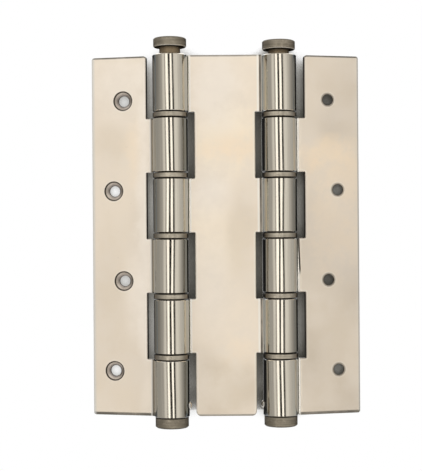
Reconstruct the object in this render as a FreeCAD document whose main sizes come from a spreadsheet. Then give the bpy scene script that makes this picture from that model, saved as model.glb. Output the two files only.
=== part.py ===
import FreeCAD, Part
import Sketcher
import math
import os
import re

Vector = FreeCAD.Vector

# Driving dimensions in millimetres, angles in degrees
SIZES = {
    "barrel_length": 150.0,        # all six knuckles of one barrel
    "barrel_diameter": 14.6,
    "sheet_thickness": 2.2,
    "axis_spacing": 45.3,          # between the two barrels
    "fold_gap": 0.4,               # between a folded leaf and the centre plate
    "bend_radius": 3.2,            # mid-sheet, where the plate turns into the roll
    "roll_gap": 0.6,               # between the end of a roll and its own plate
    "end_knuckle": 23.6,           # top and bottom knuckle
    "washer_thickness": 2.2,
    "washer_play": 0.2,            # above and below each washer
    "leaf_reach": 34.0,            # barrel axis to outer edge
    "leaf_notch_reach": 10.5,      # barrel axis to notch wall
    "plate_notch_reach": 10.1,
    "rim_chamfer": 0.35,           # broken edge of a knuckle end
    "droop": 12.5,                 # how far the leaves hang back as it lies open
    "leaf_corner": 1.0,
    "plate_corner": 2.0,
    "hole_pitch": 37.7,
    "hole_far_margin": 13.5,       # first and third hole to the outer edge
    "hole_near_margin": 9.3,       # second and fourth
    "screw_hole": 4.5,
    "countersink": 8.2,
    "press_clearance": 0.02,       # on the radius, bush and plug in their knuckle
    "running_clearance": 0.05,     # on the radius
    "washer_chamfer": 0.25,
    "tube_wall": 0.8,
    "tube_end_gap": 0.4,
    "left_lift": 3.25,             # underside of the head above the barrel
    "right_lift": 2.25,
    "head_step": 0.45,             # head's side inside the barrel's
    "head_height": 3.65,
    "head_chamfer": 0.4,
    "head_rim": 0.3,
    "neck_clearance": 0.75,        # on the radius, neck in the top knuckle
    "bush_recess": 4.5,            # bush top below the barrel top
    "bush_length": 12.0,
    "bush_wall": 1.5,
    "collar_length": 2.5,
    "hub_clearance": 0.15,         # on the radius, hub in the spring
    "hub_length": 8.0,
    "sleeve_wall": 1.1,            # outside the corners of the keyed bore
    "key_clearance": 0.06,         # each side of the shank
    "shank_length": 11.0,
    "key_run_out": 1.0,            # keyed bore below the end of the shank
    "socket_width": 5.0,           # across the flats of the key socket in the head
    "socket_depth": 3.2,
    "cap_step": 0.4,
    "cap_height": 4.4,
    "cap_chamfer": 0.5,
    "plug_length": 14.0,           # from the cap into the bottom knuckle
    "pin_diameter": 3.2,
    "pin_height": 4.8,             # pin axis above the bottom of the barrel
    "pin_dome": 0.8,
    "pin_collar": 0.4,
    "pin_depth": 5.0,              # into the plug from the barrel's outside
    "wire": 1.8,                   # square spring wire
    "spring_turns": 30,
    "spring_clearance": 0.3,       # on the radius, spring in its tube
    "tang_clearance": 0.12,        # each side of the wire in its slot
    "tang_inset": 3.5,             # end of the hub to the middle of the tang
    "tang_set": 0.2,               # end of a tang inside the hub's outside
}

# Lengths that follow from the driving dimensions
FORMULAS = {
    "half_length": "(barrel_length / 2)",
    "outer": "(barrel_diameter / 2)",
    "bore": "(outer - sheet_thickness)",
    "ring_radius": "(outer - sheet_thickness / 2)",
    "axis_offset": "((sheet_thickness + fold_gap) / 2)",
    "near_face": "(axis_offset - sheet_thickness / 2)",
    "far_face": "(axis_offset + sheet_thickness / 2)",
    "half_spacing": "(axis_spacing / 2)",
    "bend_distance": "(ring_radius + bend_radius)",
    "seam_distance": "(bend_radius + sheet_thickness / 2 + roll_gap)",
    "seam_cos": "((outer^2 + bend_distance^2 - seam_distance^2) / (2 * outer * bend_distance))",
    "seam_sin": "sqrt(1 - seam_cos^2)",
    "washer_space": "(washer_thickness + 2 * washer_play)",
    "inner_knuckle": "((barrel_length - 2 * end_knuckle - 5 * washer_space) / 4)",
    "mid_shift": "((cap_height - left_lift - head_height) / 2)",
    "tube_outer": "(bore - running_clearance)",
    "tube_inner": "(tube_outer - tube_wall)",
    "bush_top": "(half_length - bush_recess)",
    "bush_bottom": "(bush_top - bush_length)",
    "hub_top": "(bush_bottom - collar_length)",
    "hub_end": "(hub_top - hub_length)",
    "plug_top": "(plug_length - half_length)",
    "plug_hub_end": "(plug_top + hub_length)",
    "upper_tang": "(hub_end + tang_inset)",
    "lower_tang": "(plug_hub_end - tang_inset)",
    "head_radius": "(outer - head_step)",
    "neck_radius": "(bore - neck_clearance)",
    "cap_radius": "(outer - cap_step)",
    "sleeve_radius": "(bore - press_clearance - bush_wall - running_clearance)",
    "key_bore": "((sleeve_radius - sleeve_wall) * sqrt(3))",
    "coil_outer": "(tube_inner - spring_clearance)",
    "coil_inner": "(coil_outer - wire)",
    "hub_radius": "(coil_inner - hub_clearance)",
    "slot_width": "(wire + 2 * tang_clearance)",
}

KNUCKLES = 6


def expand(text):
    """Write a length in terms of the cells of the sheet."""
    def word(match):
        name = match.group(0)
        if name in FORMULAS:
            return expand(FORMULAS[name])
        if name in SIZES:
            return "Sizes." + name
        return name
    return re.sub(r"[a-z_]+", word, text)


def value(text):
    """The length in millimetres."""
    return float(sheet.evalExpression(expand(text)))


def bind(item, path, text):
    item.setExpression(path, expand(text))


def knuckle_top(number):
    if number == 1:
        return "half_length"
    steps = number - 2
    return f"(half_length - end_knuckle - washer_space - {steps} * (inner_knuckle + washer_space))"


def knuckle_bottom(number):
    if number == KNUCKLES:
        return "(-half_length)"
    length = "end_knuckle" if number == 1 else "inner_knuckle"
    return f"({knuckle_top(number)} - {length})"


doc = FreeCAD.newDocument("CafeHinge")
sheet = doc.addObject("Spreadsheet::Sheet", "Sizes")
for row, (name, number) in enumerate(SIZES.items(), start=1):
    sheet.set(f"A{row}", name)
    sheet.set(f"B{row}", str(number))
    sheet.setAlias(f"B{row}", name)
doc.recompute()


def new_body(label):
    body = doc.addObject("PartDesign::Body", label)
    body.Label = label
    return body


def new_sketch(body, name, role, origin=("0", "0", "0")):
    """A sketch on an origin plane of its own body, with its origin moved along the plane."""
    sketch = body.newObject("Sketcher::SketchObject", name)
    plane = next(item for item in body.Origin.OriginFeatures if item.Role == role)
    sketch.AttachmentSupport = [(plane, "")]
    sketch.MapMode = "FlatFace"
    for axis, text in zip("xyz", origin):
        if text != "0":
            bind(sketch, f"AttachmentOffset.Base.{axis}", text)
    return sketch


def draw_outline(sketch, corners, arcs=None):
    """Closed outline through the corners; arcs give radius, centre and turn of the stretch after one."""
    arcs = arcs or {}
    points = [Vector(value(x), value(y), 0) for x, y in corners]
    ends = []
    first = sketch.GeometryCount
    for index, start in enumerate(points):
        end = points[(index + 1) % len(points)]
        if index not in arcs:
            sketch.addGeometry(Part.LineSegment(start, end))
            ends.append((1, 2))
            continue
        radius, centre, anticlockwise = arcs[index]
        middle = Vector(value(centre[0]), value(centre[1]), 0)
        circle = Part.Circle(middle, Vector(0, 0, 1), value(radius))
        angles = [math.atan2(p.y - middle.y, p.x - middle.x) for p in (start, end)]
        if not anticlockwise:
            angles.reverse()
        sketch.addGeometry(Part.ArcOfCircle(circle, *angles))
        ends.append((1, 2) if anticlockwise else (2, 1))
    for index, (x, y) in enumerate(corners):
        item = first + index
        before = first + (index - 1) % len(corners)
        start = ends[index][0]
        sketch.addConstraint(Sketcher.Constraint("Coincident", before, ends[index - 1][1], item, start))
        for kind, text in (("DistanceX", x), ("DistanceY", y)):
            number = sketch.addConstraint(Sketcher.Constraint(kind, item, start, value(text)))
            bind(sketch, f"Constraints[{number}]", text)
    for index, (radius, _, _) in arcs.items():
        number = sketch.addConstraint(Sketcher.Constraint("Radius", first + index, value(radius)))
        bind(sketch, f"Constraints[{number}]", radius)


def draw_rectangle(sketch, left, right, bottom, top):
    draw_outline(sketch, [(left, bottom), (right, bottom), (right, top), (left, top)])


def draw_circle(sketch, x, y, diameter):
    centre = Vector(value(x), value(y), 0)
    item = sketch.addGeometry(Part.Circle(centre, Vector(0, 0, 1), value(diameter) / 2))
    for kind, text in (("DistanceX", x), ("DistanceY", y)):
        number = sketch.addConstraint(Sketcher.Constraint(kind, item, 3, value(text)))
        bind(sketch, f"Constraints[{number}]", text)
    number = sketch.addConstraint(Sketcher.Constraint("Diameter", item, value(diameter)))
    bind(sketch, f"Constraints[{number}]", diameter)


def pad(body, sketch, length):
    feature = body.newObject("PartDesign::Pad", sketch.Name + "Pad")
    feature.Profile = sketch
    feature.SideType = "Symmetric"
    bind(feature, "Length", length)
    return feature


def cut(body, sketch, length=None, backwards=False):
    """Pocket both ways through all, or one way to a depth; it has to take something away."""
    before = body.Shape.Volume
    feature = body.newObject("PartDesign::Pocket", sketch.Name + "Pocket")
    feature.Profile = sketch
    if length is None:
        feature.SideType = "Symmetric"
        feature.Type = "ThroughAll"
    else:
        bind(feature, "Length", length)
        feature.Reversed = backwards
    doc.recompute()
    if not body.Shape.Volume < before:
        raise ValueError(f"{feature.Name} of {body.Label} cuts nothing")
    return feature


def turn(body, sketch, kind="Revolution", axis="V_Axis"):
    feature = body.newObject("PartDesign::" + kind, sketch.Name + kind)
    feature.Profile = sketch
    feature.ReferenceAxis = (sketch, [axis])
    feature.Angle = 360
    return feature


def round_corners(body, radius, places):
    """Round the edges that run across the sheet at the given x and z places."""
    doc.recompute()
    wanted = [(value(x), value(z)) for x, z in places]
    names = []
    for number, edge in enumerate(body.Shape.Edges, start=1):
        ends = [vertex.Point for vertex in edge.Vertexes]
        if len(ends) < 2 or abs(ends[0].x - ends[1].x) + abs(ends[0].z - ends[1].z) > 1e-6:
            continue
        if any(abs(ends[0].x - x) + abs(ends[0].z - z) < 1e-4 for x, z in wanted):
            names.append(f"Edge{number}")
    carrier = body.Tip
    fillet = body.newObject("PartDesign::Fillet", body.Name + "_corners")
    fillet.Base = (carrier, names)
    bind(fillet, "Radius", radius)
    doc.recompute()


def place(body, side):
    """Left barrel as drawn, the right one half turned; what lines up with a leaf hangs back with it."""
    sign = "-" if side == "left" else ""
    bind(body, "Placement.Base.x", sign + "half_spacing")
    bind(body, "Placement.Base.y", sign + "axis_offset")
    bind(body, "Placement.Base.z", "mid_shift")
    body.Placement.Rotation = FreeCAD.Rotation(Vector(0, 0, 1), 1)
    bind(body, "Placement.Rotation.Angle", "-droop" if side == "left" else "180 + droop")


def roll_outline(wrap):
    """Corners and arcs of a rolled sheet end about the axis, with the plate leaving along +x.

    The plate's middle lies at y = axis_offset. The roll leaves it towards wrap, +y or -y.
    """
    side = "+" if wrap > 0 else "-"
    rise = f"(axis_offset {side} bend_radius)"
    reach = f"sqrt(bend_distance^2 - {rise}^2)"
    start = (f"({reach} / bend_distance)", f"({rise} / bend_distance)")
    other = "-" if wrap > 0 else "+"
    end = (f"({start[0]} * seam_cos {side} {start[1]} * seam_sin)",
           f"({start[1]} * seam_cos {other} {start[0]} * seam_sin)")
    turned = wrap > 0
    corners = [
        (reach, f"(axis_offset {side} sheet_thickness / 2)"),
        (f"outer * {start[0]}", f"outer * {start[1]}"),
        (f"outer * {end[0]}", f"outer * {end[1]}"),
        (f"bore * {end[0]}", f"bore * {end[1]}"),
        (f"bore * {start[0]}", f"bore * {start[1]}"),
        (reach, f"(axis_offset {other} sheet_thickness / 2)"),
    ]
    bend_centre = (reach, rise)
    arcs = {
        0: ("(bend_radius - sheet_thickness / 2)", bend_centre, not turned),
        1: ("outer", ("0", "0"), turned),
        3: ("bore", ("0", "0"), not turned),
        4: ("(bend_radius + sheet_thickness / 2)", bend_centre, turned),
    }
    return corners, arcs


def chamfer_rims(body, name, numbers, origin):
    """Break the outer edge of each knuckle end about one barrel axis."""
    sketch = new_sketch(body, name, "XZ_Plane", origin)
    for number in numbers:
        for level, inward in ((knuckle_top(number), "-"), (knuckle_bottom(number), "+")):
            corners = [
                ("outer - rim_chamfer", level),
                ("outer + rim_chamfer", level),
                ("outer + rim_chamfer", f"{level} {inward} 2 * rim_chamfer"),
            ]
            draw_outline(sketch, corners)
    turn(body, sketch, "Groove")
    doc.recompute()


def make_leaf(label, side):
    """Leaf with knuckles 2, 4 and 6, drawn about its barrel axis with the plate towards -x."""
    body = new_body(label)
    corners, arcs = roll_outline(-1)
    corners = [(f"-({x})", y) for x, y in corners]
    arcs = {index: (radius, (f"-({centre[0]})", centre[1]), not anticlockwise)
            for index, (radius, centre, anticlockwise) in arcs.items()}
    corners += [("-leaf_reach", "far_face"), ("-leaf_reach", "near_face")]
    profile = new_sketch(body, label + "_profile", "XY_Plane")
    draw_outline(profile, corners, arcs)
    pad(body, profile, "barrel_length")
    doc.recompute()

    notches = new_sketch(body, label + "_notches", "XZ_Plane")
    for bottom, top in ((knuckle_top(2), "half_length + 1"),
                        (knuckle_top(4), knuckle_bottom(2)),
                        (knuckle_top(6), knuckle_bottom(4))):
        draw_rectangle(notches, "-leaf_notch_reach", "outer + 1", bottom, top)
    cut(body, notches)
    chamfer_rims(body, label + "_rims", (2, 4, 6), ("0", "0", "0"))
    round_corners(body, "leaf_corner", [("-leaf_reach", "half_length"), ("-leaf_reach", "-half_length"),
                                        ("-leaf_notch_reach", "half_length")])

    pin_hole = new_sketch(body, label + "_pin_hole", "YZ_Plane")
    draw_circle(pin_hole, "0", "pin_height - half_length", "pin_diameter")
    cut(body, pin_hole, "outer + 1", backwards=True)

    holes = new_sketch(body, label + "_holes", "XZ_Plane", ("0", "0", "-(near_face)"))
    for number in range(4):
        margin = "hole_far_margin" if number % 2 == 0 else "hole_near_margin"
        draw_circle(holes, f"{margin} - leaf_reach", f"(1.5 - {number}) * hole_pitch", "screw_hole")
    doc.recompute()
    before = body.Shape.Volume
    hole = body.newObject("PartDesign::Hole", label + "_screw_holes")
    hole.Profile = holes
    hole.DepthType = "ThroughAll"
    bind(hole, "Diameter", "screw_hole")
    hole.HoleCutType = "Countersink"
    hole.HoleCutCustomValues = True
    bind(hole, "HoleCutDiameter", "countersink")
    hole.HoleCutCountersinkAngle = 90
    doc.recompute()
    if not body.Shape.Volume < before:
        raise ValueError(f"screw holes of {label} cut nothing")
    place(body, side)
    return body


def make_centre_plate():
    """Sheet rolled at both ends, carrying knuckles 1, 3 and 5 of both barrels."""
    body = new_body("centre_plate")
    left, arcs = roll_outline(1)
    corners = [(f"{x} - half_spacing", f"{y} - axis_offset") for x, y in left]
    outline = corners + [(f"-({x})", f"-({y})") for x, y in corners]
    bends = {}
    for index, (radius, centre, anticlockwise) in arcs.items():
        x = f"{centre[0]} - half_spacing"
        y = f"{centre[1]} - axis_offset"
        bends[index] = (radius, (x, y), anticlockwise)
        bends[index + len(corners)] = (radius, (f"-({x})", f"-({y})"), anticlockwise)
    profile = new_sketch(body, "plate_profile", "XY_Plane")
    draw_outline(profile, outline, bends)
    pad(body, profile, "barrel_length")
    doc.recompute()

    notches = new_sketch(body, "plate_notches", "XZ_Plane")
    inner = "half_spacing - plate_notch_reach"
    outside = "half_spacing + outer + 1"
    for bottom, top in ((knuckle_top(3), knuckle_bottom(1)),
                        (knuckle_top(5), knuckle_bottom(3)),
                        ("-half_length - 1", knuckle_bottom(5))):
        draw_rectangle(notches, f"-({outside})", f"-({inner})", bottom, top)
        draw_rectangle(notches, inner, outside, bottom, top)
    cut(body, notches)
    chamfer_rims(body, "left_rims", (1, 3, 5), ("-half_spacing", "0", "axis_offset"))
    chamfer_rims(body, "right_rims", (1, 3, 5), ("half_spacing", "0", "-axis_offset"))
    round_corners(body, "plate_corner", [(f"-({inner})", "-half_length"), (inner, "-half_length")])
    bind(body, "Placement.Base.z", "mid_shift")
    return body


def make_turned(label, side, corners):
    """A piece turned about the barrel axis from its radius and height outline."""
    body = new_body(label)
    section = new_sketch(body, label + "_section", "XZ_Plane")
    draw_outline(section, corners)
    turn(body, section)
    place(body, side)
    doc.recompute()
    return body


def make_washer(side, number):
    """Bearing washer under knuckle number, with broken rims."""
    top = f"({knuckle_bottom(number)} - washer_play)"
    bottom = f"({top} - washer_thickness)"
    inner = "tube_outer + running_clearance"
    return make_turned(f"{side}_bearing_washer_{number}", side, [
        (inner, bottom),
        ("outer - washer_chamfer", bottom),
        ("outer", f"{bottom} + washer_chamfer"),
        ("outer", f"{top} - washer_chamfer"),
        ("outer - washer_chamfer", top),
        (inner, top),
    ])


def make_tube(side):
    """Tube inside the barrel that lines the knuckles up and guides the spring."""
    bottom = "plug_top + tube_end_gap"
    top = "bush_bottom - tube_end_gap"
    return make_turned(f"{side}_spring_tube", side, [
        ("tube_inner", bottom), ("tube_outer", bottom), ("tube_outer", top), ("tube_inner", top)])


def make_bush(side):
    """Bush in the top knuckle that the winding sleeve turns in."""
    inner = "sleeve_radius + running_clearance"
    outside = "bore - press_clearance"
    return make_turned(f"{side}_top_bush", side, [
        (inner, "bush_bottom"), (outside, "bush_bottom"), (outside, "bush_top"), (inner, "bush_top")])


def cut_slot(body, name, centre, depth_end):
    """Slot right across a hub for the spring's tang, open at the hub's end."""
    slot = new_sketch(body, name, "YZ_Plane")
    draw_rectangle(slot, "-slot_width / 2", "slot_width / 2", *sorted((centre, depth_end), key=value))
    cut(body, slot)


def draw_hexagon(sketch, width):
    """Hexagon about the sketch's origin, by its width across the flats."""
    corner = f"({width}) / sqrt(3)"
    half = f"({width}) / 2"
    draw_outline(sketch, [
        (corner, "0"), (f"{corner} / 2", half), (f"-{corner} / 2", half),
        (f"-{corner}", "0"), (f"-{corner} / 2", f"-{half}"), (f"{corner} / 2", f"-{half}")])


def make_winding_sleeve(side):
    """Turns in the bush, hooks the spring's upper tang and is keyed to the head's shank."""
    label = f"{side}_winding_sleeve"
    body = make_turned(label, side, [
        ("0", "hub_end"),
        ("hub_radius", "hub_end"),
        ("hub_radius", "hub_top"),
        ("coil_outer", "hub_top"),
        ("coil_outer", "bush_bottom - running_clearance"),
        ("sleeve_radius", "bush_bottom - running_clearance"),
        ("sleeve_radius", "bush_top"),
        ("0", "bush_top"),
    ])
    key = new_sketch(body, label + "_key", "XY_Plane", ("0", "0", "bush_top"))
    draw_hexagon(key, "key_bore")
    cut(body, key, "shank_length + key_run_out")
    cut_slot(body, label + "_slot", "hub_end - 1", "upper_tang + slot_width / 2")
    return body


def make_head(side):
    """Mushroom head with its neck and keyed shank; pressed down and turned with a hexagon key."""
    label = f"{side}_head"
    underside = f"(half_length + {side}_lift)"
    top = f"({underside} + head_height)"
    neck_end = f"({underside} - bush_recess)"
    body = make_turned(label, side, [
        ("0", neck_end),
        ("neck_radius", neck_end),
        ("neck_radius", underside),
        ("head_radius - head_rim", underside),
        ("head_radius", f"{underside} + head_rim"),
        ("head_radius", f"{top} - head_chamfer"),
        ("head_radius - head_chamfer", top),
        ("0", top),
    ])
    shank = new_sketch(body, label + "_shank", "XY_Plane", ("0", "0", neck_end))
    draw_hexagon(shank, "key_bore - 2 * key_clearance")
    feature = body.newObject("PartDesign::Pad", label + "_shank_pad")
    feature.Profile = shank
    feature.Reversed = True
    bind(feature, "Length", "shank_length")
    doc.recompute()
    socket = new_sketch(body, label + "_socket", "XY_Plane", ("0", "0", top))
    draw_hexagon(socket, "socket_width")
    cut(body, socket, "socket_depth")
    return body


def make_base_plug(side):
    """Cap and plug under the bottom knuckle, with a slotted hub for the spring's lower tang."""
    label = f"{side}_base_plug"
    bottom = "(-half_length - cap_height)"
    body = make_turned(label, side, [
        ("0", bottom),
        ("cap_radius - cap_chamfer", bottom),
        ("cap_radius", f"{bottom} + cap_chamfer"),
        ("cap_radius", "-half_length"),
        ("bore - press_clearance", "-half_length"),
        ("bore - press_clearance", "plug_top"),
        ("hub_radius", "plug_top"),
        ("hub_radius", "plug_hub_end"),
        ("0", "plug_hub_end"),
    ])
    pin_hole = new_sketch(body, label + "_pin_hole", "YZ_Plane")
    draw_circle(pin_hole, "0", "pin_height - half_length", "pin_diameter")
    cut(body, pin_hole, "outer", backwards=True)
    cut_slot(body, label + "_slot", "plug_hub_end + 1", "lower_tang - slot_width / 2")
    return body


def make_pin(side):
    """Domed pin through the wall of the bottom knuckle into the base plug."""
    label = f"{side}_plug_pin"
    body = new_body(label)
    section = new_sketch(body, label + "_section", "XZ_Plane", ("0", "pin_height - half_length", "0"))
    radius = "(pin_diameter / 2 - press_clearance)"
    face = "(outer + pin_collar)"
    dome = f"(({radius}^2 + pin_dome^2) / (2 * pin_dome))"
    draw_outline(section, [
        ("outer - pin_depth", "0"),
        (f"{face} + pin_dome", "0"),
        (face, radius),
        ("outer - pin_depth", radius),
    ], {1: (dome, (f"{face} + pin_dome - {dome}", "0"), True)})
    turn(body, section, "Revolution", "H_Axis")
    place(body, side)
    doc.recompute()
    return body


def make_spring(side):
    """Torsion spring of square wire, each end turned in across a slotted hub."""
    label = f"{side}_torsion_spring"
    body = new_body(label)
    section = new_sketch(body, label + "_section", "XZ_Plane")
    draw_rectangle(section, "coil_inner", "coil_outer",
                   "lower_tang - wire / 2", "lower_tang + wire / 2")
    coil = body.newObject("PartDesign::AdditiveHelix", label + "_coil")
    coil.Profile = section
    coil.ReferenceAxis = (section, ["V_Axis"])
    coil.Mode = "height-turns-angle"
    bind(coil, "Height", "upper_tang - lower_tang")
    bind(coil, "Turns", "spring_turns")
    doc.recompute()
    for name, level in (("lower", "lower_tang"), ("upper", "upper_tang")):
        tang = new_sketch(body, f"{label}_{name}_tang", "YZ_Plane", ("0", "0", "tang_set - hub_radius"))
        draw_rectangle(tang, "-wire / 2", "wire / 2", f"{level} - wire / 2", f"{level} + wire / 2")
        feature = body.newObject("PartDesign::Pad", f"{label}_{name}_tang_pad")
        feature.Profile = tang
        bind(feature, "Length", "hub_radius - tang_set + coil_outer - wire / 2")
        doc.recompute()
    place(body, side)
    return body


parts = [make_leaf("door_leaf", "left"), make_leaf("jamb_leaf", "right"), make_centre_plate()]
for side in ("left", "right"):
    parts += [make_washer(side, number) for number in range(1, KNUCKLES)]
    parts += [make_tube(side), make_bush(side), make_winding_sleeve(side), make_head(side)]
    parts += [make_base_plug(side), make_pin(side), make_spring(side)]
doc.recompute()

for item in doc.Objects:
    if "Invalid" in item.State or "Error" in item.State:
        raise ValueError(f"{item.Name} did not build: {item.State}")
for part in parts:
    shape = part.Shape
    if shape.isNull() or not shape.isValid() or len(shape.Solids) != 1:
        raise ValueError(f"{part.Label} is not one valid solid")

os.makedirs("parts", exist_ok=True)
for part in parts:
    part.Shape.exportStep(f"parts/{part.Label}.step")
    print(part.Label, round(part.Shape.Volume, 1))
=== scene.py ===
import bpy
import math
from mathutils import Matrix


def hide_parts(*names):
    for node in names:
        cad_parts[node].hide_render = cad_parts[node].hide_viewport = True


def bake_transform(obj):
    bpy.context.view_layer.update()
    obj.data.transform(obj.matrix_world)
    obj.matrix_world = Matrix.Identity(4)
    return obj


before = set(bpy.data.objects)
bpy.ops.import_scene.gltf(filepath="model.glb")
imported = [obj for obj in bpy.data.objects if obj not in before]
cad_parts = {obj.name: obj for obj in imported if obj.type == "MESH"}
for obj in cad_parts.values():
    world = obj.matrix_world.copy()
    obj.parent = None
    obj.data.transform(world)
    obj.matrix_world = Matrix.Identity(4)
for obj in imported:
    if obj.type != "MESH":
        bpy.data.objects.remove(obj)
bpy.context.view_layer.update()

from types import SimpleNamespace

MM = 0.001

# Sizes of the hinge in metres, as the CAD model has them
AXIS_X = 22.65 * MM
AXIS_Y = 1.3 * MM
BARREL_RADIUS = 7.3 * MM
BARREL_HALF = 75 * MM
MIDDLE_Z = -1.25 * MM
BARREL_FOOT = MIDDLE_Z - BARREL_HALF
KNUCKLE_PITCH = 25.05 * MM
DROOP = math.radians(12.5)
LEAF_REACH = 34 * MM
NOTCH_REACH = 10.5 * MM
HOLES_ALONG = (20.5 * MM, 24.7 * MM)
HOLE_PITCH = 37.7 * MM
HOLE_RADIUS = 2.25 * MM
SINK_RADIUS = 4.1 * MM
NECK_RADIUS = 4.35 * MM


# Node helper

class Net:
    """A material's or the world's node tree, with short calls for the nodes it needs."""

    def __init__(self, owner):
        owner.use_nodes = True
        self.tree = owner.node_tree
        self.tree.nodes.clear()

    def node(self, kind, inputs=None, **settings):
        made = self.tree.nodes.new(kind)
        for key, setting in settings.items():
            setattr(made, key, setting)
        for key, given in (inputs or {}).items():
            self.feed(made.inputs[key], given)
        return made

    def feed(self, socket, given):
        if isinstance(given, bpy.types.NodeSocket):
            self.tree.links.new(given, socket)
        else:
            socket.default_value = given

    def math(self, operation, *values):
        inputs = {index: given for index, given in enumerate(values)}
        return self.node("ShaderNodeMath", inputs, operation=operation).outputs[0]

    def times(self, first, *others):
        for given in others:
            first = self.math("MULTIPLY", first, given)
        return first

    def minus(self, first, second):
        return self.math("SUBTRACT", first, second)

    def size_of(self, given):
        return self.math("ABSOLUTE", given)

    def ramp(self, given, low, high, start=0.0, end=1.0, smooth=True):
        """Goes from start to end while the given value goes from low to high, and stays level past them."""
        kind = "SMOOTHSTEP" if smooth else "LINEAR"
        inputs = {"Value": given, "From Min": low, "From Max": high, "To Min": start, "To Max": end}
        return self.node("ShaderNodeMapRange", inputs, interpolation_type=kind).outputs[0]

    def line(self, given, middle, inner, outer, strength=1.0):
        """Full strength up to the inner distance from the middle, and 0 from the outer one."""
        return self.ramp(self.size_of(self.minus(given, middle)), inner, outer, strength, 0.0)

    def mix(self, factor, first, second):
        return self.node("ShaderNodeMix", {0: factor, 2: first, 3: second}, data_type="FLOAT").outputs[0]

    def blend(self, factor, first, second):
        made = self.node("ShaderNodeMix", data_type="RGBA")
        for name, given in (("Factor_Float", factor), ("A_Color", first), ("B_Color", second)):
            socket = next(s for s in made.inputs if s.identifier == name)
            self.feed(socket, given)
        return next(s for s in made.outputs if s.identifier == "Result_Color")

    def noise(self, place, scale, detail, roughness, stretch=None):
        if stretch is not None:
            place = self.node("ShaderNodeMapping", {"Vector": place, "Scale": stretch}).outputs[0]
        inputs = {"Vector": place, "Scale": scale, "Detail": detail, "Roughness": roughness}
        return self.node("ShaderNodeTexNoise", inputs).outputs["Fac"]

    def axes(self, given):
        return self.node("ShaderNodeSeparateXYZ", {0: given}).outputs

    def joined(self, *values):
        return self.node("ShaderNodeCombineXYZ", dict(enumerate(values))).outputs[0]

    def vector(self, operation, *values, output=0):
        inputs = {index: given for index, given in enumerate(values)}
        return self.node("ShaderNodeVectorMath", inputs, operation=operation).outputs[output]

    def coordinates(self, kind):
        return self.node("ShaderNodeTexCoord").outputs[kind]

    def open_share(self, reach, **settings):
        return self.node("ShaderNodeAmbientOcclusion", {"Distance": reach}, **settings).outputs["AO"]

    def bump(self, height, strength, distance, normal=None):
        inputs = {"Height": height, "Strength": strength, "Distance": distance}
        if normal is not None:
            inputs["Normal"] = normal
        return self.node("ShaderNodeBump", inputs).outputs[0]

    def metal(self, tone, shine, gloss, normal):
        inputs = {"Base Color": tone, "Metallic": shine, "Specular IOR Level": 0.0, "Roughness": gloss,
                  "Normal": normal}
        shader = self.node("ShaderNodeBsdfPrincipled", inputs)
        self.node("ShaderNodeOutputMaterial", {"Surface": shader.outputs[0]})


# Places on the hinge, as sockets of a node tree

def barrel_offset(net, place):
    """Where a point lies as seen from the nearer barrel's axis: across, forward and up."""
    parts = net.axes(place)
    side = net.math("SIGN", parts["X"])
    across = net.minus(net.times(parts["X"], side), AXIS_X)
    forward = net.minus(net.times(parts["Y"], side), AXIS_Y)
    return across, forward, parts["Z"]


def wrapped_place(net, across, forward, up):
    """Coordinates that run round the barrel and along it, and the distance from its axis."""
    turn = net.times(net.math("ARCTAN2", forward, across), BARREL_RADIUS)
    distance = net.math("SQRT", net.math("ADD", net.times(across, across), net.times(forward, forward)))
    return net.joined(turn, distance, up), distance


def front_quarter(net, place, forward):
    """1 on the front of a barrel as it lies open, and 0 from its side round its back."""
    side = net.math("SIGN", net.axes(place)["X"])
    return net.ramp(net.times(forward, side), -0.02 * BARREL_RADIUS, -0.15 * BARREL_RADIUS)


def hole_distance(net, place, side):
    """Distance from the axis of the nearest screw hole of the leaf on that side, and from the barrel's."""
    parts = net.axes(place)
    outward = net.times(net.minus(parts["X"], side * AXIS_X), side * math.cos(DROOP))
    back = net.times(net.minus(parts["Y"], side * AXIS_Y), math.sin(DROOP))
    along = net.math("ADD", outward, back)
    distances = []
    for reach, level in zip(HOLES_ALONG, (1.5 * HOLE_PITCH, 0.5 * HOLE_PITCH)):
        up = net.math("WRAP", net.minus(parts["Z"], MIDDLE_Z + level), HOLE_PITCH, -HOLE_PITCH)
        distances.append(net.vector("LENGTH", net.joined(net.minus(along, reach), up), output="Value"))
    return net.math("MINIMUM", *distances), along


def crevice(net, reach):
    """Painted shade: strong deep in narrow gaps, where little light reaches, and 0 on open faces."""
    return net.ramp(net.open_share(reach, samples=8), 0.3, 0.76, 0.95, 0.0)


# The sheets' looks
# Tones are linear colours. The painted shade along the ends has a strength and a tone, a border has its
# width before them, and the painted reflection of a gap has first how many barrel radii off the axis it
# begins.

PEACH, PALE, DULL = (0.98, 0.81, 0.605, 1), (0.95, 0.855, 0.735, 1), (0.72, 0.61, 0.465, 1)
WARM = (1.0, 0.865, 0.675, 1)
SHADY, LIGHT, HAZY = (0.830, 0.715, 0.573), (0.905, 0.787, 0.637), (0.830, 0.745, 0.635, 1)
ROLLED_DARK, ROLLED_LIGHT = (0.672, 0.610, 0.503, 1), (0.772, 0.706, 0.590, 1)
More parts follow.
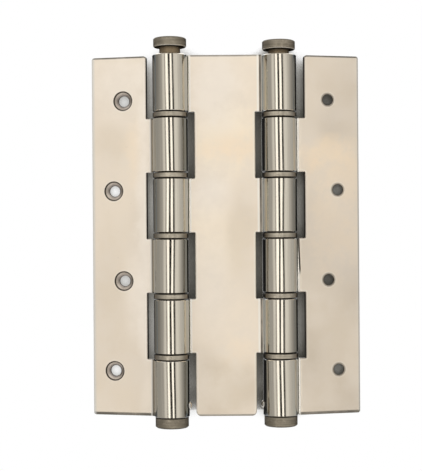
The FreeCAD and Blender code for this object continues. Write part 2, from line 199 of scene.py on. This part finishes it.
# Apart from the speck, cut face, countersink and hole grime tones, the tones below are painted light and
# shade: painted highlights, painted shade lines and painted reflections.
SPECK, CREVICE_SHADE = (0.42, 0.36, 0.28, 1), (0.05, 0.043, 0.035, 1)
EDGE_HIGHLIGHT, EDGE_SHADE = (0.97, 0.90, 0.79, 1), (0.22, 0.19, 0.15, 1)
BEND_HIGHLIGHT, CREASE_SHADE = (0.97, 0.92, 0.83, 1), (0.05, 0.04, 0.03, 1)
CUT_FACE, NOTCH_WALL_SHADE, RIM_HIGHLIGHT = (0.20, 0.17, 0.135, 1), (0.03, 0.026, 0.02, 1), (0.90, 0.84, 0.75, 1)
SHADE_LINE, COOL_SHEET_REFLECTION, FLANK_SHADE = (0.02, 0.016, 0.012, 1), (0.52, 0.56, 0.575, 1), (0.012, 0.010, 0.008, 1)
SINK, HOLE_GRIME, HOLE_EDGE_SHADE = (0.61, 0.54, 0.465, 1), (0.28, 0.245, 0.23, 1), (0.045, 0.034, 0.024, 1)

LEAF_END_SHADE, SHEET_REFLECTION_TONE = (0.95, (0.13, 0.117, 0.095, 1)), (0.73, 0.69, 0.58, 1)
GAP_REFLECTION_TONE, COOL_GAP_REFLECTION = (0.14, 0.13, 0.105, 1), (0.26, 0.29, 0.30, 1)

# Where the black sliver of painted shade beside a knuckle of the jamb leaf has its top and foot: up, and
# across from the axis
SLIVER = ((-2.5 * MM, 7.83 * MM), (-16.5 * MM, 8.32 * MM))

# How far a noise's values are spread
SPREAD = (0.3, 0.7)

# Creases are where the plate leaves its roll, beside the left and the right axis. The foot is short of the
# barrel's end by foot_short. Patches are soft lighter and darker areas painted on the flats: middle across
# and up, half width, half height, tone and strength, with the sizes in millimetres.
SHEETS = {
    "door_leaf": SimpleNamespace(
        side=-1, seed=0.13, level=0.98, creases=(7.45 * MM, 7.45 * MM), foot_short=0.5 * MM,
        end_shade=LEAF_END_SHADE, border=(1.6 * MM, 0.75, (0.66, 0.645, 0.60, 1)), gap_reflection=(0.38, 0.8, GAP_REFLECTION_TONE),
        sheet_reflection=(0.60, 0.56, 0.465, 1), cool_gap_reflection=COOL_GAP_REFLECTION,
        patches=[(-44, 61, 13, 17, PALE, 0.7), (-47.5, 37, 9, 11, DULL, 0.35),
                 (-36.5, 34, 6, 13, PEACH, 0.5), (-37, -24, 6, 22, PALE, 0.6), (-49, -22, 8, 26, DULL, 0.3),
                 (-33.5, 0, 4, 90, PALE, 0.8), (-44, -63, 15, 18, DULL, 0.25)]),
    "centre_plate": SimpleNamespace(
        side=0, seed=0.37, level=1.03, creases=(7.2 * MM, 7.9 * MM), foot_short=0.1 * MM,
        end_shade=(0.75, (0.23, 0.21, 0.175, 1)), gap_reflection=(0.38, 0.64, GAP_REFLECTION_TONE),
        sheet_reflection=SHEET_REFLECTION_TONE, cool_gap_reflection=COOL_GAP_REFLECTION,
        patches=[(1, 38, 18, 20, WARM, 1.0), (3.5, 34.5, 16, 7.5, PEACH, 0.9),
                 (-4.5, 61, 13, 21, PALE, 0.8), (-6, 17, 11, 13, PALE, 0.8), (-3, -5, 14, 20, WARM, 0.45),
                 (-6, -22, 9, 22, PALE, 0.5), (7, 2, 7, 24, DULL, 0.4), (2.6, -66, 17, 16, DULL, 0.6),
                 (6, -49, 8, 7, PEACH, 0.4)]),
    "jamb_leaf": SimpleNamespace(
        side=1, seed=0.71, level=0.955, creases=(6.9 * MM, 6.9 * MM), foot_short=0.5 * MM,
        end_shade=LEAF_END_SHADE, border=(0.9 * MM, 0.8, (0.47, 0.445, 0.40, 1)),
        gap_reflection=(0.66, 0.3, (0.30, 0.305, 0.28, 1)), sheet_reflection=SHEET_REFLECTION_TONE, cool_gap_reflection=(0.36, 0.395, 0.41, 1),
        patches=[(41.8, 33.5, 15, 6.5, PEACH, 0.95), (45.5, 26, 15, 11, PEACH, 0.65),
                 (43.4, -45, 16, 32, DULL, 0.4), (47, 0, 16, 23, PALE, 0.6), (46, 4, 16, 24, PEACH, 0.55),
                 (44, 63, 16, 12, DULL, 0.2)]),
}


def sheet_places(net, look):
    """What all the paint on a sheet goes by: places on it, its noises and the slope of its faces."""
    at = SimpleNamespace(place=net.coordinates("Object"))
    at.across, at.forward, at.up = barrel_offset(net, at.place)
    at.wrapped, at.distance = wrapped_place(net, at.across, at.forward, at.up)
    at.flat = net.ramp(at.distance, BARREL_RADIUS + 0.05 * MM, BARREL_RADIUS + 1.1 * MM)
    at.in_roll = net.minus(1.0, at.flat)
    at.in_front = net.times(at.in_roll, front_quarter(net, at.place, at.forward))
    at.gap_side = net.times(at.across, -1.0 if look.side else 1.0)

    shift = (look.seed, look.seed * 0.7, look.seed * 1.3)
    at.shifted = net.node("ShaderNodeMapping", {"Vector": at.place, "Location": shift}).outputs[0]
    at.clouds = net.noise(at.shifted, 26.0, detail=2.0, roughness=0.5, stretch=(1.0, 1.0, 0.7))
    at.haze = net.noise(at.shifted, 90.0, detail=4.0, roughness=0.6)
    at.rolled = net.noise(at.wrapped, 1.0, detail=3.0, roughness=0.6, stretch=(5200.0, 5200.0, 45.0))

    slope = net.coordinates("Normal")
    at.upright = net.size_of(net.axes(slope)["Z"])
    sheet_back = (-look.side * math.sin(DROOP), math.cos(look.side * DROOP), 0.0)
    squareness = net.vector("DOT_PRODUCT", slope, sheet_back, output="Value")
    at.cut = net.times(net.ramp(net.size_of(squareness), 0.72, 0.97, 1.0, 0.0), at.flat)
    if look.side:
        at.from_hole, at.outward = hole_distance(net, at.place, look.side)
        at.sunk_face = net.ramp(net.times(squareness, -look.side), 0.0, 0.1, 1.0, 0.0)
        past_brim = net.minus(at.from_hole, net.mix(at.sunk_face, HOLE_RADIUS, SINK_RADIUS))
        outside = net.ramp(past_brim, -0.02 * MM, 0.05 * MM)
        on_brim = net.times(outside, net.ramp(past_brim, 0.9 * MM, 0.6 * MM))
        at.cut = net.times(at.cut, net.minus(1.0, on_brim))
    return at


def patch(net, place, ragged, middle, half_size):
    """1 in the middle of a soft oval on the sheet, and 0 outside its ragged edge."""
    from_middle = net.vector("SUBTRACT", place, (middle[0] * MM, 0.0, middle[1] * MM))
    shrink = (1 / (half_size[0] * MM), 0.0, 1 / (half_size[1] * MM))
    reach = net.vector("LENGTH", net.vector("MULTIPLY", from_middle, shrink), output="Value")
    return net.ramp(net.math("ADD", reach, ragged), 0.2, 1.25, 1.0, 0.0)


def plating(net, at, look):
    """The sheet's tone: cloudy and patched on the flats, striped on the rolls, with painted shade in the
    gaps.
    """
    shady, light = [tuple(part * look.level for part in tone) + (1,) for tone in (SHADY, LIGHT)]
    cloudy = net.blend(net.ramp(at.clouds, 0.36, 0.66), shady, light)
    ragged = net.times(net.minus(at.haze, 0.5), 1.6)
    for middle_x, middle_z, half_width, half_height, patch_tone, strength in look.patches:
        mask = patch(net, at.place, ragged, (middle_x, middle_z), (half_width, half_height))
        cloudy = net.blend(net.times(mask, strength), cloudy, patch_tone)
    cloudy = net.blend(net.ramp(at.haze, 0.35, 0.7, 0.0, 0.35), cloudy, HAZY)
    striped = net.blend(net.ramp(at.rolled, *SPREAD), ROLLED_DARK, ROLLED_LIGHT)
    tone = net.blend(at.flat, striped, cloudy)
    specks = net.noise(at.shifted, 900.0, detail=2.0, roughness=0.7)
    tone = net.blend(net.ramp(specks, 0.70, 0.78, 0.0, 0.18), tone, SPECK)
    return net.blend(crevice(net, 3 * MM), tone, CREVICE_SHADE)


def paint_edges(net, at, look, tone):
    """A painted highlight and a painted shade line along the plate's edges, painted shade along the ends,
    and the leaves' outside border.
    """
    near_edge = net.open_share(1.1 * MM, samples=12, inside=True)
    # Painted highlight along the edges, then a line of painted shade just inside them
    edge_highlight = net.times(net.ramp(near_edge, 0.70, 0.80), net.ramp(near_edge, 0.84, 0.97, 0.55, 0.0))
    tone = net.blend(net.times(edge_highlight, at.flat), tone, EDGE_HIGHLIGHT)
    tone = net.blend(net.times(net.ramp(near_edge, 0.56, 0.70, 0.7, 0.0), at.flat), tone, EDGE_SHADE)

    # Painted shade along the sheets' top and foot ends
    from_end = net.minus(BARREL_HALF, net.size_of(net.minus(at.up, MIDDLE_Z)))
    from_end = net.minus(from_end, net.ramp(at.up, 1.0 * MM, -1.0 * MM, 0.0, look.foot_short))
    strength, end_shade_tone = look.end_shade
    end_shade = net.ramp(from_end, 0.4 * MM, 0.9 * MM, strength, 0.0)
    broken_up = net.ramp(at.haze, 0.3, 0.6, 0.7, 1.0)
    tone = net.blend(net.times(end_shade, at.flat, broken_up), tone, end_shade_tone)
    if look.side:
        width, strength, border_tone = look.border
        border = net.ramp(net.minus(LEAF_REACH, at.outward), 0.3 * MM, width, strength, 0.0)
        tone = net.blend(border, tone, border_tone)
    return tone


def paint_barrel_reflections(net, at, look, tone):
    """Painted reflections: dark on the front where a barrel faces a gap, and a tint all round where it faces
    its sheet.
    """
    reflection_from, reflection_strength, reflection_tone = look.gap_reflection
    gap_reflection = net.ramp(at.gap_side, reflection_from * BARREL_RADIUS, 0.84 * BARREL_RADIUS, 0.0, reflection_strength)
    tone = net.blend(net.times(gap_reflection, at.in_front), tone, reflection_tone)
    sheet_side_reflection = net.ramp(at.gap_side, -0.5 * BARREL_RADIUS, -0.8 * BARREL_RADIUS, 0.0, 0.75)
    return net.blend(net.times(sheet_side_reflection, at.in_roll), tone, look.sheet_reflection)


def paint_crease(net, at, look, tone):
    """Painted shade in the crease where the plate leaves its roll, with a painted highlight on the bend
    beside it.
    """
    crease_at = net.ramp(net.axes(at.place)["X"], -1.0 * MM, 1.0 * MM, *look.creases)
    past_crease = net.math("ADD", at.gap_side, crease_at)
    tone = net.blend(net.line(past_crease, -0.95 * MM, 0.2 * MM, 0.6 * MM, 0.7), tone, BEND_HIGHLIGHT)
    crease = net.line(past_crease, 0.0, 0.2 * MM, 0.6 * MM, 0.92)
    off_middle = net.ramp(net.size_of(at.forward), 1.2 * MM, 2.2 * MM)
    broken_up = net.ramp(at.haze, 0.3, 0.55, 0.75, 1.0)
    return net.blend(net.times(crease, off_middle, broken_up), tone, CREASE_SHADE)


def paint_cut_faces(net, at, look, tone):
    """Dull cut faces, nearly black with painted shade in the notches, and a black sliver of painted shade
    beside a knuckle of the jamb leaf.
    """
    tone = net.blend(net.times(at.cut, 0.85), tone, CUT_FACE)
    in_notch = net.line(at.across, 0.0, NOTCH_REACH + 1.0 * MM, NOTCH_REACH + 2.0 * MM, 0.85)
    tone = net.blend(net.times(at.cut, in_notch), tone, NOTCH_WALL_SHADE)
    if look.side > 0:
        (top, top_across), (foot, foot_across) = SLIVER
        lean = net.ramp(at.up, top, foot, top_across, foot_across, smooth=False)
        sliver = net.line(at.across, lean, 0.25 * MM, 0.45 * MM, 0.96)
        sliver = net.times(sliver, net.ramp(at.up, top + 0.7 * MM, top + 0.1 * MM))
        sliver = net.times(sliver, net.ramp(at.up, foot - 2.0 * MM, foot + 1.5 * MM))
        on_front = net.ramp(at.forward, 0.5 * MM, -0.5 * MM)
        tone = net.blend(net.times(sliver, on_front), tone, SHADE_LINE)
    return tone


def paint_barrel_sides(net, at, look, tone):
    """Painted highlights on the rims at the knuckles' ends, cool painted reflections down their sides, and
    painted shade on their flanks, corners and foot.
    """
    off_axis = net.size_of(at.across)
    rim = net.times(net.ramp(at.upright, 0.3, 0.55), at.in_roll)
    rim = net.times(rim, net.ramp(off_axis, 0.92 * BARREL_RADIUS, 0.78 * BARREL_RADIUS))
    tone = net.blend(net.times(rim, 0.8), tone, RIM_HIGHLIGHT)

    cool_reflection = net.ramp(at.gap_side, 0.74 * BARREL_RADIUS, 0.82 * BARREL_RADIUS, 0.0, 0.9)
    tone = net.blend(net.times(cool_reflection, at.in_front), tone, look.cool_gap_reflection)
    cool_reflection = net.ramp(at.gap_side, -0.80 * BARREL_RADIUS, -0.86 * BARREL_RADIUS, 0.0, 0.8)
    cool_reflection = net.times(cool_reflection, net.ramp(at.gap_side, -1.0 * BARREL_RADIUS, -0.95 * BARREL_RADIUS))
    tone = net.blend(net.times(cool_reflection, at.in_roll), tone, COOL_SHEET_REFLECTION)

    flank = net.ramp(at.gap_side, 0.88 * BARREL_RADIUS, 0.94 * BARREL_RADIUS, 0.0, 0.95)
    flank = net.times(flank, at.in_front)
    corner = net.ramp(off_axis, 0.86 * BARREL_RADIUS, 0.92 * BARREL_RADIUS)
    corner = net.times(corner, net.ramp(at.upright, 0.15, 0.4))
    corner = net.times(corner, net.ramp(at.distance, BARREL_RADIUS + 0.4 * MM, BARREL_RADIUS + 0.2 * MM))
    tone = net.blend(net.math("MAXIMUM", flank, net.times(corner, 0.97)), tone, FLANK_SHADE)
    foot = net.ramp(net.minus(at.up, BARREL_FOOT), 0.2 * MM, 0.5 * MM, 0.9, 0.0)
    return net.blend(net.times(foot, at.in_roll), tone, SHADE_LINE)


def paint_holes(net, at, tone):
    """Bare countersinks with a grimy ring round the hole, and dark lines of painted shade at their edges."""
    sink = net.times(net.ramp(at.from_hole, SINK_RADIUS, SINK_RADIUS - 0.2 * MM), at.cut)
    tone = net.blend(sink, tone, SINK)
    grimy = net.line(at.from_hole, HOLE_RADIUS + 0.3 * MM, 0.21 * MM, 0.525 * MM)
    grimy = net.times(grimy, at.sunk_face, net.ramp(at.haze, 0.35, 0.6, 0.25, 0.75))
    tone = net.blend(grimy, tone, HOLE_GRIME)
    sink_line = net.line(at.from_hole, SINK_RADIUS - 0.22 * MM, 0.15 * MM, 0.375 * MM)
    hole_line = net.line(at.from_hole, HOLE_RADIUS, 0.09 * MM, 0.225 * MM)
    outline = net.math("MAXIMUM", net.times(sink_line, at.sunk_face), hole_line)
    return net.blend(net.times(outline, 0.95), tone, HOLE_EDGE_SHADE)


def sheet_gloss(net, at):
    """Satin flats and polished rolls, both a little uneven."""
    flats = net.ramp(at.clouds, *SPREAD, 0.36, 0.46)
    flats = net.math("ADD", flats, net.ramp(at.haze, *SPREAD, -0.03, 0.03))
    rolls = net.ramp(at.rolled, *SPREAD, 0.09, 0.15)
    rolls = net.math("ADD", rolls, net.ramp(at.haze, *SPREAD, -0.02, 0.02))
    return net.mix(at.flat, rolls, flats)


def sheet_relief(net, at):
    """Slow waves in the plate, fine grain, and barrels out of round, each knuckle in its own way."""
    knuckle = net.math("FLOOR", net.math("DIVIDE", net.minus(at.up, MIDDLE_Z), KNUCKLE_PITCH))
    barrel = net.math("SIGN", net.axes(at.place)["X"])
    own = net.math("ADD", net.times(knuckle, 0.37), barrel)
    turn = net.axes(at.wrapped)["X"]
    in_knuckle = net.joined(net.times(turn, 520.0), own, net.times(at.up, 14.0))
    roundness = net.noise(in_knuckle, 1.0, detail=2.0, roughness=0.5)
    grain = net.noise(at.place, 1.0, detail=2.0, roughness=0.6, stretch=(2600.0, 2600.0, 90.0))
    normal = net.bump(at.clouds, 0.2, 0.35 * MM)
    normal = net.bump(roundness, net.times(at.in_roll, 0.6), 0.05 * MM, normal)
    normal = net.bump(at.rolled, 0.12, 0.02 * MM, normal)
    return net.bump(grain, 0.10, 0.01 * MM, normal)


def plated_sheet(name, look):
    """Satin nickel plate: cloudy on the flats, polished along the rolled barrels, with dull cut edges."""
    material = bpy.data.materials.new(name)
    net = Net(material)
    at = sheet_places(net, look)
    tone = plating(net, at, look)
    for paint in (paint_edges, paint_barrel_reflections, paint_crease, paint_cut_faces, paint_barrel_sides):
        tone = paint(net, at, look, tone)
    if look.side:
        tone = paint_holes(net, at, tone)
    net.metal(tone, 1.0, sheet_gloss(net, at), sheet_relief(net, at))
    return material


# Turned steel

# Apart from the neck stain, these tones are painted light and shade: a painted highlight on the heads' lower
# rims and painted shade elsewhere.
WASHER_SIDE_SHADE, SIDE_SHADE_LINE = (0.13, 0.122, 0.11, 1), (0.012, 0.010, 0.008, 1)
CHAMFER_SHADE, STEEL_SHADE = (0.015, 0.012, 0.009, 1), (0.03, 0.026, 0.02, 1)
NECK_STAIN, NECK_SHADE = (0.27, 0.19, 0.105, 1), (0.010, 0.008, 0.006, 1)
HEAD_RIM_HIGHLIGHT, CAP_RIM_SHADE, UPPER_RIM_SHADE = (0.57, 0.53, 0.46, 1), (0.04, 0.033, 0.022, 1), (0.08, 0.068, 0.048, 1)
UNDERSIDE_SHADE = (0.012, 0.010, 0.007, 1)


def shaded_ring(net, at, tone):
    """Washers: painted shade darkens them towards their sides and makes their chamfers and side edges black.
    """
    aside = net.times(net.size_of(at.across), front_quarter(net, at.place, at.forward))
    darkened = net.ramp(aside, 0.5 * BARREL_RADIUS, 0.9 * BARREL_RADIUS, 0.0, 0.72)
    tone = net.blend(darkened, tone, WASHER_SIDE_SHADE)
    tone = net.blend(net.ramp(net.size_of(at.slope), 0.25, 0.5, 0.0, 0.93), tone, CHAMFER_SHADE)
    edge_line = net.ramp(aside, 0.89 * BARREL_RADIUS, 0.95 * BARREL_RADIUS, 0.0, 0.9)
    return net.blend(edge_line, tone, SIDE_SHADE_LINE)


def domed_pin(net, at, tone):
    """Pins: painted shade darkens all of a pin but its dome."""
    inside = net.ramp(at.distance, BARREL_RADIUS + 0.6 * MM, BARREL_RADIUS + 0.3 * MM)
    return net.blend(inside, tone, STEEL_SHADE)


def stained_and_shaded_cap(net, at, tone):
    """Heads and caps: stained neck, painted shade under the head, on the undersides and on the rim above, a
    painted highlight on the heads' lower rims and painted shade on the caps', and a black line of painted
    shade at the barrel.
    """
    neck = net.ramp(at.distance, NECK_RADIUS + 0.85 * MM, NECK_RADIUS + 0.35 * MM)
    tone = net.blend(net.times(neck, 0.75), tone, NECK_STAIN)
    shaded = net.ramp(net.open_share(3.5 * MM, samples=12), 0.27, 0.56, 0.95, 0.0)
    tone = net.blend(net.times(shaded, neck), tone, NECK_SHADE)
    lower_rim = net.times(net.ramp(at.slope, -0.3, -0.5), net.ramp(at.slope, -0.95, -0.85))
    rim_light_and_shade = net.blend(net.ramp(at.up, -1.0 * MM, 1.0 * MM), CAP_RIM_SHADE, HEAD_RIM_HIGHLIGHT)
    tone = net.blend(net.times(lower_rim, 0.85), tone, rim_light_and_shade)
    tone = net.blend(net.ramp(at.slope, -0.85, -0.95, 0.0, 0.95), tone, UNDERSIDE_SHADE)
    upper_rim = net.times(net.ramp(at.slope, 0.3, 0.5), net.ramp(at.slope, 0.95, 0.85))
    tone = net.blend(net.times(upper_rim, 0.8), tone, UPPER_RIM_SHADE)
    return net.blend(net.line(at.up, BARREL_FOOT, 0.2 * MM, 0.5 * MM, 0.95), tone, UNDERSIDE_SHADE)


def turned_metal(name, dark, light, rough, ring_scale, speckle, paint=None, dull_below=False):
    """Turned steel: fine rings round the barrel's axis, a dull speckle, on top what paint adds to it, and
    painted shade deep in narrow gaps.

    Where it is dull below, its undersides have no shine.
    """
    material = bpy.data.materials.new(name)
    net = Net(material)
    at = SimpleNamespace(place=net.coordinates("Object"), slope=net.axes(net.coordinates("Normal"))["Z"])
    at.across, at.forward, at.up = barrel_offset(net, at.place)
    wrapped, at.distance = wrapped_place(net, at.across, at.forward, at.up)
    rings = net.noise(wrapped, 1.0, detail=3.0, roughness=0.65, stretch=(70.0, ring_scale, ring_scale))
    mottle = net.noise(at.place, 520.0, detail=4.0, roughness=0.7)
    stain = net.noise(at.place, 160.0, detail=3.0, roughness=0.6)

    stained = (dark[0] * 0.8, dark[1] * 0.76, dark[2] * 0.7, 1)
    speckled = tuple(part * 1.3 for part in light) + (1,)
    tone = net.blend(net.ramp(rings, *SPREAD), (*dark, 1), (*light, 1))
    tone = net.blend(net.ramp(stain, 0.35, 0.7, 0.0, 0.35), tone, stained)
    tone = net.blend(net.ramp(mottle, 0.5, 0.72, 0.0, speckle), tone, speckled)
    if paint:
        tone = paint(net, at, tone)
    tone = net.blend(crevice(net, 2 * MM), tone, STEEL_SHADE)

    shine = net.ramp(at.slope, -0.85, -0.95, 1.0, 0.0) if dull_below else 1.0
    ring_gloss = net.ramp(rings, *SPREAD, rough - 0.06, rough + 0.06)
    gloss = net.math("ADD", ring_gloss, net.ramp(mottle, *SPREAD, -0.05, 0.05))
    normal = net.bump(mottle, 0.2, 0.03 * MM, net.bump(rings, 0.25, 0.03 * MM))
    net.metal(tone, shine, gloss, normal)
    return material


RING = turned_metal("bearing_ring", dark=(0.38, 0.335, 0.262), light=(0.63, 0.56, 0.445), rough=0.36,
                    ring_scale=9000.0, speckle=0.6, paint=shaded_ring)
CAP = turned_metal("turned_cap", dark=(0.21, 0.180, 0.132), light=(0.365, 0.318, 0.245), rough=0.44,
                   ring_scale=5200.0, speckle=0.55, paint=stained_and_shaded_cap, dull_below=True)
PIN = turned_metal("polished_pin", dark=(0.66, 0.62, 0.55), light=(0.80, 0.76, 0.70), rough=0.14,
                   ring_scale=4000.0, speckle=0.1, paint=domed_pin)
BARE = turned_metal("bare_steel", dark=(0.42, 0.41, 0.39), light=(0.60, 0.59, 0.57), rough=0.34,
                    ring_scale=4200.0, speckle=0.2)
SPRING = turned_metal("spring_steel", dark=(0.13, 0.13, 0.135), light=(0.25, 0.25, 0.26), rough=0.33,
                      ring_scale=2600.0, speckle=0.25)


def finish_of(node):
    if node in SHEETS:
        return plated_sheet("plated_sheet_" + node, SHEETS[node])
    if "washer" in node:
        return RING
    if node.endswith("_head") or node.endswith("base_plug"):
        return CAP
    if node.endswith("plug_pin"):
        return PIN
    if node.endswith("torsion_spring"):
        return SPRING
    return BARE


for node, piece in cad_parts.items():
    piece.data.materials.clear()
    piece.data.materials.append(finish_of(node))

# Soft, slightly worn edges on the sheets
for node in SHEETS:
    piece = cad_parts[node]
    weld = piece.modifiers.new("weld", "WELD")
    weld.merge_threshold = 0.002 * MM
    edge = piece.modifiers.new("soft edges", "BEVEL")
    edge.width = 0.2 * MM
    edge.segments = 3
    edge.limit_method = "ANGLE"
    edge.angle_limit = math.radians(50)
    edge.use_clamp_overlap = True
    split = piece.modifiers.new("crisp chamfers", "EDGE_SPLIT")
    split.split_angle = math.radians(40)
    shading = piece.modifiers.new("flat faces stay flat", "WEIGHTED_NORMAL")
    shading.mode = "FACE_AREA"
    shading.weight = 100
    shading.keep_sharp = False

# Each torsion spring is swapped for a copy of its mesh, named as a twisting spring, and the CAD spring is
# hidden
for side, leaf in ((-1, "door_leaf"), (1, "jamb_leaf")):
    node = ("left" if side < 0 else "right") + "_torsion_spring"
    coil = bpy.data.objects.new(node.replace("torsion", "twisting"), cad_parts[node].data.copy())
    bpy.context.scene.collection.objects.link(coil)
    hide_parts(node)
    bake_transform(coil)


# Backdrop and floor

WALL_Y = 0.0088
FLOOR_Z = -0.13
BOARD_REACH = 1.5
WALL_TOP = 1.2
SHADOW_SIDES = (-46 * MM, -6 * MM)
SHADOW_DEEPENS = (-63 * MM, -73 * MM)
SHADOW_ENDS = (-74.4 * MM, -75.4 * MM)


def board(name, corners, open_sky, depths):
    """A board that only the camera sees, and only from its front, so that it never shades the hinge.

    It is clear in the open, before a white world, and keeps the hinge's shadow where less than the open
    share of the sky reaches it; what folds behind it still shows. The two depths say how deep the shadow is
    under the left and under the right of the hinge. The shadow deepens low down and ends with the plates.
    """
    mesh = bpy.data.meshes.new(name)
    mesh.from_pydata(corners, [], [(0, 1, 2, 3)])
    piece = bpy.data.objects.new(name, mesh)
    bpy.context.scene.collection.objects.link(piece)
    material = bpy.data.materials.new(name)
    net = Net(material)
    parts = net.axes(net.coordinates("Object"))
    depth = net.ramp(parts["X"], *SHADOW_SIDES, *depths, smooth=False)
    depth = net.times(depth, net.ramp(parts["Z"], *SHADOW_DEEPENS, 1.0, 1.9))
    depth = net.times(depth, net.ramp(parts["Z"], *SHADOW_ENDS, 1.0, 0.25))
    sky = net.ramp(net.open_share(60 * MM, samples=16), 0.0, open_sky, 0.05, 1.0, smooth=False)
    back = net.node("ShaderNodeNewGeometry").outputs["Backfacing"]
    level = net.math("MAXIMUM", net.math("POWER", sky, depth), back)
    warm = [net.math("POWER", level, power) for power in (1.0, 1.02, 1.08)]
    shown = net.node("ShaderNodeBsdfTransparent", {"Color": net.joined(*warm)}).outputs[0]
    net.node("ShaderNodeOutputMaterial", {"Surface": shown})
    mesh.materials.append(material)
    piece.visible_shadow = False
    piece.visible_diffuse = False
    piece.visible_glossy = False


ENDS = (-BOARD_REACH, BOARD_REACH)
wall_foot = [(x, WALL_Y, FLOOR_Z) for x in ENDS]
wall_top = [(x, WALL_Y, WALL_TOP) for x in reversed(ENDS)]
board("backdrop", wall_foot + wall_top, 0.5, (0.62, 2.3))
floor_front = [(x, -BOARD_REACH, FLOOR_Z) for x in ENDS]
floor_back = [(x, BOARD_REACH, FLOOR_Z) for x in reversed(ENDS)]
board("floor", floor_front + floor_back, 1.0, (1.8, 1.8))


# Light

# The studio as the metal sees it: tall soft lights and dark gaps round the horizon, with an even glow above
# and below. Bearings are in degrees from behind the camera, to the right. Levels are parts of BRIGHTEST.
STUDIO = [(-180, 0.45), (-170, 0.45), (-165, 0.05), (-124, 0.07), (-110, 0.30), (-88, 0.27), (-69, 0.29),
          (-53, 0.30), (-47.5, 0.47), (-41, 0.57), (-34, 0.5), (-30, 0.2), (-26.5, 0.22), (-24, 1.0),
          (-18, 1.12), (-12.5, 1.05), (-10, 0.0), (1.5, 0.0), (4, 1.05), (9, 1.15), (13.5, 1.05),
          (16, 0.01), (25, 0.03), (29, 0.58), (41, 0.58), (58, 0.46), (76, 0.38), (95, 0.34), (113, 0.30),
          (122, 0.01), (168, 0.01), (170, 0.45)]
BRIGHTEST = 1.46
GLOW_ABOVE, GLOW_OVERHEAD, GLOW_BELOW, GLOW_SIDES = 1.52, 0.9, 1.08, 0.4
GLOW_RISE = (math.radians(12), math.radians(26))
OVERHEAD_RISE = (math.radians(48), math.radians(75))
WHITE = (1.0, 1.0, 1.0, 1.0)


def studio_band(net, ray):
    """The level of the studio's lights round the horizon."""
    bearing = net.math("ARCTAN2", ray["X"], net.times(ray["Y"], -1.0))
    around = net.ramp(bearing, -math.pi, math.pi, smooth=False)
    stripes = net.node("ShaderNodeValToRGB", {0: around})
    elements = stripes.color_ramp.elements
    while len(elements) > 1:
        elements.remove(elements[-1])
    first = STUDIO[0][1]
    elements[0].position, elements[0].color = 0.0, (first, first, first, 1.0)
    for angle, level in STUDIO[1:]:
        elements.new((angle + 180) / 360).color = (level, level, level, 1.0)
    return net.times(stripes.outputs[0], BRIGHTEST)


def studio_world():
    """The studio for the hinge to mirror, and plain white for the camera."""
    world = bpy.data.worlds.new("studio")
    bpy.context.scene.world = world
    net = Net(world)
    ray = net.axes(net.coordinates("Generated"))
    height = net.math("ARCSINE", ray["Z"])
    sides = net.ramp(net.size_of(ray["X"]), 0.5, 0.85, 1.0, GLOW_SIDES)
    overhead = net.ramp(height, *OVERHEAD_RISE, GLOW_ABOVE, GLOW_OVERHEAD)
    above = net.ramp(height, *GLOW_RISE)
    below = net.ramp(height, *[-angle for angle in GLOW_RISE])
    level = net.mix(above, studio_band(net, ray), net.times(overhead, sides))
    level = net.mix(below, level, net.times(sides, GLOW_BELOW))
    studio = net.node("ShaderNodeBackground", {"Color": WHITE, "Strength": level}).outputs[0]
    white = net.node("ShaderNodeBackground", {"Color": WHITE, "Strength": 1.0}).outputs[0]
    to_camera = net.node("ShaderNodeLightPath").outputs["Is Camera Ray"]
    shown = net.node("ShaderNodeMixShader", {0: to_camera, 1: studio, 2: white}).outputs[0]
    net.node("ShaderNodeOutputWorld", {"Surface": shown})


studio_world()


# Camera, as far off, as long and as tilted as the photograph's
CAMERA_PLACE = (-6.04 * MM, -499.5 * MM, MIDDLE_Z)
CAMERA_LENS = 91.7
CAMERA_ROLL = math.radians(0.4)

camera = bpy.data.objects.new("camera", bpy.data.cameras.new("camera"))
bpy.context.scene.collection.objects.link(camera)
camera.data.sensor_fit = "VERTICAL"
camera.data.sensor_height = 36.0
camera.data.lens = CAMERA_LENS
camera.data.clip_start = 0.01
camera.location = CAMERA_PLACE
camera.rotation_euler = (math.radians(90), CAMERA_ROLL, 0)
bpy.context.scene.camera = camera

bpy.context.scene.view_settings.view_transform = "Standard"
